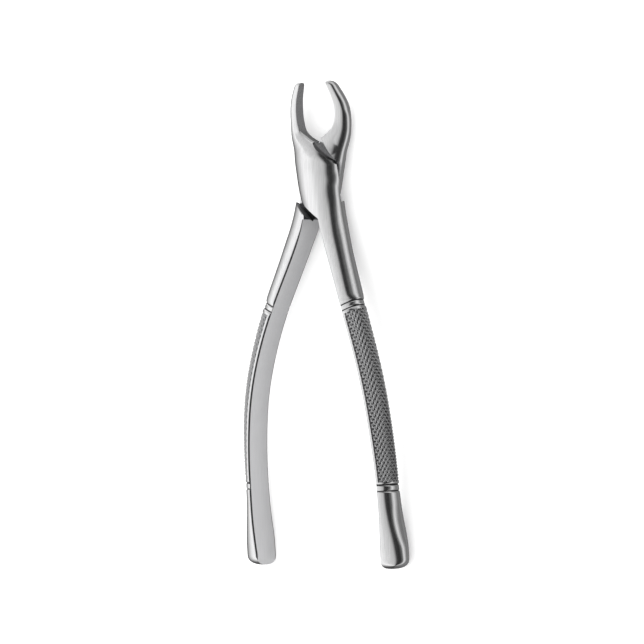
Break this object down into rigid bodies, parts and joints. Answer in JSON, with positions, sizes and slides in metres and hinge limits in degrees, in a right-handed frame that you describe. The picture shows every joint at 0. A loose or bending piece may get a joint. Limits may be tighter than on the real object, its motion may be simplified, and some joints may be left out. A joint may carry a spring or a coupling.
{
  "type": "extraction forceps",
  "caption": "Dental extraction forceps with a lapped pivot joint, curved slender beaks and D-section handles with knurled outer faces.",
  "frame": {"origin": "middle of the bounding box, on the surface the forceps lie on, at the open pose", "axes": "+X towards the beak tips, +Z along the pivot axis out of the front of the joint, +Y towards the left handle"},
  "size_m": [0.1744, 0.073, 0.0157],
  "materials": {
    "polished_steel": "mirror polished surgical stainless steel",
    "satin_steel": "fine satin grain along the handle's inner face",
    "knurled_steel": "diamond knurl, pyramids lightly polished on their tips",
    "screw_steel": "ground stainless steel with a single slot"
  },
  "bodies": {
    "front": {"front_half": "polished_steel", "pivot_screw": "screw_steel"},
    "back": {"back_half": "polished_steel"}
  },
  "joints": [
    {"name": "pivot", "type": "hinge", "parent": "front", "child": "back", "pos_m": [0.04975, 0, 0.0053], "axis": [0, 0, 1], "range_deg": [-10, 14.8]}
  ]
}
